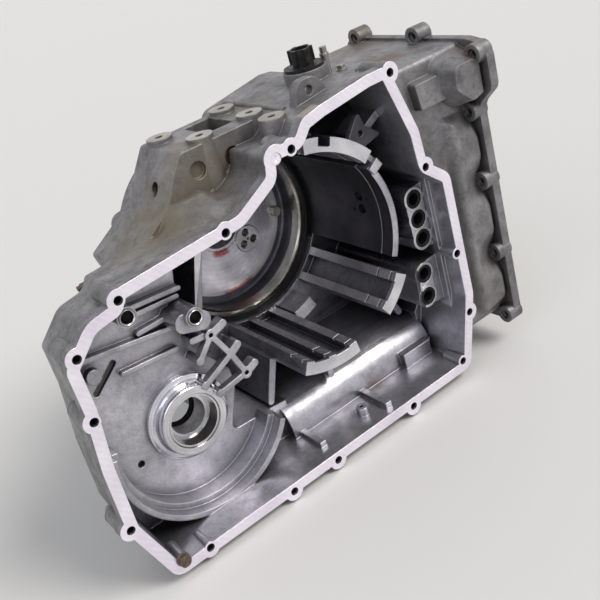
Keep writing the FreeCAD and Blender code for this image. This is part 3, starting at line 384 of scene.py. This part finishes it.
case = frame["nodes"]["case"]
case.data.materials.clear()
for finish in FINISHES:
    case.data.materials.append(finish)
for facet in case.data.polygons:
    facet.material_index = FINISHES.index(finish_of(facet.center, facet.normal))


# The front wall of the valve body's box swells out between the bolts of its cover, which stiffens it. It is
# the same casting with the same weathered skin. The solid's wall is plain there, so the swelling is drawn
# over it.
def grid_skin(name, columns, rows, place, keep=None):
    # a smooth skin of the weathered casting over a grid of points, with all its squares or those to keep
    points = [place(i, j) for j in range(rows) for i in range(columns)]
    squares = [(j * columns + i, j * columns + i + 1, (j + 1) * columns + i + 1, (j + 1) * columns + i)
               for j in range(rows - 1) for i in range(columns - 1) if keep is None or keep(i, j)]
    mesh = bpy.data.meshes.new(name)
    mesh.from_pydata(points, [], squares)
    mesh.polygons.foreach_set("use_smooth", [True] * len(squares))
    mesh.materials.append(cast_outside)
    skin = bpy.data.objects.new(name, mesh)
    bpy.context.scene.collection.objects.link(skin)
    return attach(skin, "root")


def points_across(span, step):
    return round((span[1] - span[0]) / step) + 1


def eased(share):
    share = min(max(share, 0.0), 1.0)
    return share * share * (3 - 2 * share)


PANEL_X = (0.188, 0.2405)
PANEL_Z = (-0.178, 0.078)
PANEL_STEP = 0.0015
PANEL_WALL = 0.0154
PANEL_RISE = 0.0115
PANEL_ROUND = 0.013
PANEL_OVERRUN = 0.004
PANEL_BOLTS = [0.071, -0.012, -0.104, -0.190]
VALLEY_R = 0.030
VALLEY_START = 0.15
VALLEY_WIDTH = 0.75


def panel_point(i, j):
    x = PANEL_X[0] + i * PANEL_STEP
    z = PANEL_Z[0] + j * PANEL_STEP
    rise = eased((x - PANEL_X[0]) / PANEL_ROUND) * eased((PANEL_X[1] + PANEL_OVERRUN - x) / PANEL_ROUND)
    rise *= eased((z - PANEL_Z[0]) / PANEL_ROUND) * eased((PANEL_Z[1] - z) / PANEL_ROUND)
    # a valley round each bolt leaves room for its boss
    for bolt in PANEL_BOLTS:
        rise *= eased(math.hypot(VALLEY_WIDTH * (x - PANEL_X[1]), z - bolt) / VALLEY_R - VALLEY_START)
    return x, PANEL_WALL - PANEL_RISE * rise, z


grid_skin("box_swelling", points_across(PANEL_X, PANEL_STEP), points_across(PANEL_Z, PANEL_STEP), panel_point)

# The mount block grows out of the roof in one wide sweep of cast metal. The solid meets the roof in a crease,
# and this skin of the same metal fills it with one round curve that rests on both.
SWEEP_X = (-0.14, -0.036)
SWEEP_Y = (0.022, 0.12)
SWEEP_STEP = 0.002
SWEEP_REACH = 0.05
SWEEP_R = 0.0625
SWEEP_RISE = 0.02
SWEEP_TOP = 0.125
ROOF_LOW = 0.03
THIN = 0.0001
TUCK = 0.0004
LEFT_FADE = 0.025
RIGHT_BARE = 0.024
RIGHT_FADE = 0.024
FRONT_FADE = 0.02
BACK_BARE = 0.008
BACK_FADE = 0.017
SKY = 0.3
NO_METAL = -1.0
AROUND = round(SWEEP_REACH / SWEEP_STEP)
COLUMNS = points_across(SWEEP_X, SWEEP_STEP)
ROWS = points_across(SWEEP_Y, SWEEP_STEP)


def roof_height(i, j):
    # how high the casting stands at a point of the grid, felt from above
    above = Vector((SWEEP_X[0] + i * SWEEP_STEP, SWEEP_Y[0] + j * SWEEP_STEP, SKY))
    hit, place, _, _ = case.ray_cast(above, Vector((0, 0, -1)))
    return place.z if hit else NO_METAL


roof = np.array([[roof_height(i, j) for i in range(-2 * AROUND, COLUMNS + 2 * AROUND)]
                 for j in range(-2 * AROUND, ROWS + 2 * AROUND)])

# a bowl over each point is lifted until it clears the roof, and the sweep is the lowest that any bowl comes
bowl = [(i, j, -(i * i + j * j) * SWEEP_STEP * SWEEP_STEP / (2 * SWEEP_R))
        for i in range(-AROUND, AROUND + 1) for j in range(-AROUND, AROUND + 1)
        if i * i + j * j <= AROUND * AROUND]
lifted = np.full((ROWS + 2 * AROUND, COLUMNS + 2 * AROUND), -np.inf)
for i, j, height in bowl:
    lifted = np.maximum(lifted, roof[AROUND + j:AROUND + j + lifted.shape[0],
                                     AROUND + i:AROUND + i + lifted.shape[1]] + height)
filled = np.full((ROWS, COLUMNS), np.inf)
for i, j, height in bowl:
    filled = np.minimum(filled, lifted[AROUND + j:AROUND + j + ROWS, AROUND + i:AROUND + i + COLUMNS] - height)

# towards its four sides the sweep fades into the bare roof
bare = roof[2 * AROUND:2 * AROUND + ROWS, 2 * AROUND:2 * AROUND + COLUMNS]
fade_x = [eased((i * SWEEP_STEP) / LEFT_FADE)
          * eased(((COLUMNS - 1 - i) * SWEEP_STEP - RIGHT_BARE) / RIGHT_FADE) for i in range(COLUMNS)]
fade_y = [eased((j * SWEEP_STEP) / FRONT_FADE)
          * eased(((ROWS - 1 - j) * SWEEP_STEP - BACK_BARE) / BACK_FADE) for j in range(ROWS)]
filled = bare + np.minimum(filled - bare, SWEEP_RISE) * np.outer(fade_y, fade_x)
raised = (filled > bare + THIN) & (bare > ROOF_LOW) & (filled < SWEEP_TOP)

# a step past its edge the skin runs level into the block, or goes just under the roof, so no gap shows
edge_height = np.where(raised, filled, NO_METAL)
beside = edge_height.copy()
for step_j, step_i in ((0, 1), (0, -1), (1, 0), (-1, 0), (1, 1), (1, -1), (-1, 1), (-1, -1)):
    beside = np.maximum(beside, np.roll(edge_height, (step_j, step_i), (0, 1)))
under = bare - TUCK
surface = np.where(raised, filled, np.where(beside > 0, np.minimum(under, beside), under))


def sweep_point(i, j):
    return SWEEP_X[0] + i * SWEEP_STEP, SWEEP_Y[0] + j * SWEEP_STEP, float(surface[j, i])


def on_sweep(i, j):
    # a square belongs to the sweep where a corner of it is raised and all four lie on the roof
    return bool(raised[j:j + 2, i:i + 2].any() and (bare[j:j + 2, i:i + 2] > ROOF_LOW).all())


grid_skin("mount_sweep", COLUMNS, ROWS, sweep_point, on_sweep)


# The differential runs in a tapered roller bearing. Its outer ring is ground bearing steel, pressed into the
# turned hub, and it shines like a mirror that is a little scratched.
def dress(nodes, material):
    for node in nodes:
        frame["nodes"][node].data.materials.clear()
        frame["nodes"][node].data.materials.append(material)


ground_steel = cut_face(
    "ground_bearing_steel", "#dedddb", "#b4b3b1", metallic=1.0, roughness=0.15, pitch_mm=2.5, edge_mm=0.4,
    marks=ALONG_BORE,
)
dress(["differential_bearing_cup"], ground_steel)


# Moulded nitrile rubber seals the axle, the drum and the five oil ports. It is near black, and the oil on it
# gives it a soft shine.
def moulded(name, colour, worn):
    # near black, with patches that are worn paler and more or less glossy
    material, tree, shader = new_finish(name, metallic=0.0, roughness=0.4)
    shader.inputs["IOR"].default_value = 1.52
    shader.inputs["Specular IOR Level"].default_value = 0.2
    spot = add(tree, "ShaderNodeTexCoord", out="Object")
    patches = add(tree, "ShaderNodeTexNoise", {"Vector": spot, "Scale": per_mm(5), "Detail": 4.0})
    share = add(tree, "ShaderNodeMapRange", {0: patches, 1: 0.4, 2: 0.65})
    tone = add(tree, "ShaderNodeMix", {0: share, 6: linear(colour), 7: linear(worn)}, out=2, data_type="RGBA")
    tree.links.new(tone, shader.inputs["Base Color"])
    gloss = add(tree, "ShaderNodeMapRange", {0: patches, 1: 0.3, 2: 0.7, 3: 0.32, 4: 0.55})
    tree.links.new(gloss, shader.inputs["Roughness"])
    broken_grain(tree, shader, spot, wave_mm=6, wave_height_mm=0.05, grain_mm=1.2, grain_height_mm=0.03,
                 edge_mm=0.5)
    return material


seal_rubber = moulded("moulded_nitrile_rubber", "#0b0b0c", "#151517")
dress(["axle_seal", "drum_seal_ring"] + ["port_seal_%d" % number for number in range(1, 6)], seal_rubber)


# The drum bore holds a turned steel ring, a phosphated steel piston and a faced aluminium disc with old red
# sealant on it. A ported steel sleeve feeds oil through the disc, and two sleeves of the same steel stand in
# the bosses above the differential.
def on_disc(radius, angle):
    # a point on the face of the disc, from its distance to the shaft and its angle in degrees
    return radius * math.cos(math.radians(angle)), DISC_FACE, radius * math.sin(math.radians(angle))


DISC_FACE = 0.222
SEALANT = "#8e2a22"
SEALANT_MM = 7.0
SEALANT_STRENGTH = 0.85
SEALED = [(0.087, angle) for angle in range(-101, -76, 4)] + [(0.034, angle) for angle in range(-114, -84, 8)]
FEED_SLEEVE = (0.033, 0, -0.032)

# the ring is bright, with a faint yellow in it and lines round its bore
ring_steel = cut_face(
    "turned_ring_steel", "#c3c1b8", "#8c8a82", metallic=1.0, roughness=0.2, pitch_mm=2.5, edge_mm=0.4,
    marks=ALONG_BORE,
)
# phosphate turns the piston's steel to an even dull grey
piston_steel = cut_face(
    "phosphated_steel", "#7c7d84", "#5b5c62", metallic=0.8, roughness=0.36, pitch_mm=3.0, edge_mm=0.6,
    marks=ALONG_BORE,
)
# facing leaves wide rings on the disc, which soften its shine
disc_face = cut_face(
    "faced_aluminium", "#d3d1d8", "#a7a5ae", metallic=0.9, roughness=0.3, pitch_mm=6.0, edge_mm=0.6,
    marks=ROUND_FACE,
    stains=[(on_disc(radius, angle), SEALANT_MM, SEALANT, SEALANT_STRENGTH) for radius, angle in SEALED],
)
# the feed sleeve's end is bright, with fine rings round its own axis
sleeve_steel = cut_face(
    "turned_sleeve_steel", "#cfcecb", "#a19f9a", metallic=1.0, roughness=0.22, pitch_mm=2.0, edge_mm=0.4,
    marks=ROUND_FACE, centre=FEED_SLEEVE,
)
dress(["drum_snap_ring"], ring_steel)
dress(["clutch_piston"], piston_steel)
dress(["end_support"], disc_face)
dress(["feed_insert", "guide_sleeve_upper", "guide_sleeve_inner"], sleeve_steel)

# Small bolts and the vent pipe are steel with a dull zinc plating. The plug in the wide lug is bare
# aluminium, milled flush with the joint face.
zinc_plate = cut_face(
    "zinc_plated_steel", "#b5b3aa", "#8f8d84", metallic=0.9, roughness=0.34, pitch_mm=1.5, edge_mm=0.4,
    marks=ALONG_BORE,
)
dress(["support_bolt", "vent_pipe", "harness_bolt"], zinc_plate)
dress(["lug_plug"], joint_face)

# The fasteners that stood outside are plain steel and have rusted: matt, brown and scaly, with a little bare
# metal left on their edges.
SCUFF_WIDTH = 0.0009


def rusted(name, crust, deep, bare_metal):
    # a crust in two browns, and edges scuffed back to the metal
    material, tree, shader = new_finish(name, metallic=0.25, roughness=0.72)
    spot = add(tree, "ShaderNodeTexCoord", out="Object")
    scales = add(tree, "ShaderNodeTexNoise", {
        "Vector": spot, "Scale": per_mm(3.5), "Detail": 7.0, "Roughness": 0.7,
    })
    share = add(tree, "ShaderNodeMapRange", {0: scales, 1: 0.38, 2: 0.62})
    tone = add(tree, "ShaderNodeMix", {0: share, 6: linear(crust), 7: linear(deep)}, out=2, data_type="RGBA")
    edge = add(tree, "ShaderNodeBevel", {"Radius": SCUFF_WIDTH}, samples=6)
    true_normal = add(tree, "ShaderNodeNewGeometry", out="True Normal")
    lean = add(tree, "ShaderNodeVectorMath", {0: edge, 1: true_normal}, out="Value", operation="DOT_PRODUCT")
    scuffed = add(tree, "ShaderNodeMapRange", {0: lean, 1: 0.98, 2: 0.8, 4: 0.6})
    tone = add(tree, "ShaderNodeMix", {0: scuffed, 6: tone, 7: linear(bare_metal)}, out=2, data_type="RGBA")
    tree.links.new(tone, shader.inputs["Base Color"])
    broken_grain(tree, shader, spot, wave_mm=4, wave_height_mm=0.25, grain_mm=1.2, grain_height_mm=0.15,
                 edge_mm=0.6)
    return material


# the plug is a redder brown than the bolt, the stud and the nut, which have gone greyer
plug_rust = rusted("rusted_steel", "#7a4d38", "#43302a", "#9a9188")
bolt_rust = rusted("weathered_steel", "#6a5648", "#433b36", "#a09a92")
dress(["pressure_plug"], plug_rust)
dress(["corner_bolt", "cable_stud", "stud_nut"], bolt_rust)

# The electrical connector is moulded in black glass filled nylon and pushed into its bore in the roof. Its
# skin is satin, and a little dust greys it.
nylon = moulded("moulded_black_nylon", "#161617", "#2b2b2d")
dress(["connector_plug"], nylon)

# The housing lies on a bench of painted board, pale and matt. The board is wide enough to fill the camera's
# view, and lies a hair under the housing's lowest point.
BENCH_REACH = 8.0
BENCH_GAP = 0.0002
bench_top = cad_box[0].z - BENCH_GAP
bench_mesh = bpy.data.meshes.new("bench")
bench_mesh.from_pydata([
    (-BENCH_REACH, -BENCH_REACH, bench_top), (BENCH_REACH, -BENCH_REACH, bench_top),
    (BENCH_REACH, BENCH_REACH, bench_top), (-BENCH_REACH, BENCH_REACH, bench_top),
], [], [(0, 1, 2, 3)])
bench = bpy.data.objects.new("bench", bench_mesh)
bpy.context.scene.collection.objects.link(bench)
paint, _, paint_shader = new_finish("painted_board", metallic=0.0, roughness=0.6)
paint_shader.inputs["Base Color"].default_value = linear("#dededc")
bench_mesh.materials.append(paint)

# A white room stands round the bench and lights the housing softly from all sides. The eye and the metal see
# its walls brighter than they light.
ROOM_LIGHT = 0.45
ROOM_SEEN = 0.95
world = bpy.data.worlds.new("white_room")
bpy.context.scene.world = world
world.use_nodes = True
room = world.node_tree.nodes["Background"]
room.inputs["Color"].default_value = linear("#f6f6f8")
seen = add(world.node_tree, "ShaderNodeLightPath", out="Is Camera Ray")
mirrored = add(world.node_tree, "ShaderNodeLightPath", out="Is Glossy Ray")
through = add(world.node_tree, "ShaderNodeLightPath", out="Is Transmission Ray")
either = add(world.node_tree, "ShaderNodeMath", {0: seen, 1: mirrored}, operation="MAXIMUM")
shown = add(world.node_tree, "ShaderNodeMath", {0: either, 1: through}, operation="MAXIMUM")
brightness = add(world.node_tree, "ShaderNodeMapRange", {0: shown, 3: ROOM_LIGHT, 4: ROOM_SEEN})
world.node_tree.links.new(brightness, room.inputs["Strength"])


# Two windows light the housing, a strong one from the right and a weak one from the left. Both are wide, so
# shadows have soft edges.
def soft_sun(name, direction, strength, spread_deg, tint):
    # an even light from far off, given by the way it shines
    data = bpy.data.lights.new(name, "SUN")
    data.energy = strength
    data.angle = math.radians(spread_deg)
    data.color = linear(tint)[:3]
    lamp = bpy.data.objects.new(name, data)
    bpy.context.scene.collection.objects.link(lamp)
    lamp.rotation_euler = Vector(direction).to_track_quat("-Z", "Y").to_euler()


soft_sun("window", (-0.5, 0.75, -0.9), strength=2.2, spread_deg=30, tint="#fffaf5")
soft_sun("second_window", (0.8, 0.5, -0.7), strength=0.6, spread_deg=50, tint="#f1f3ff")

# The camera stands where the photograph's did, in front of the open joint face, above it and to its left.
# Its place and axes were found from the joint face's corners and holes.
CAMERA_PLACE = (-0.4426, -0.7011, 0.3825)
CAMERA_RIGHT = (0.7710, -0.5830, -0.2564)
CAMERA_UP = (0.4598, 0.2310, 0.8574)
camera_data = bpy.data.cameras.new("camera")
camera_data.lens = 54.0
camera_data.sensor_width = 36.0
camera = bpy.data.objects.new("camera", camera_data)
bpy.context.scene.collection.objects.link(camera)
up = Vector(CAMERA_UP).normalized()
back = Vector(CAMERA_RIGHT).cross(up).normalized()
camera.matrix_world = Matrix((up.cross(back), up, back)).transposed().to_4x4()
camera.location = CAMERA_PLACE
bpy.context.scene.camera = camera
bpy.context.scene.view_settings.view_transform = "Standard"
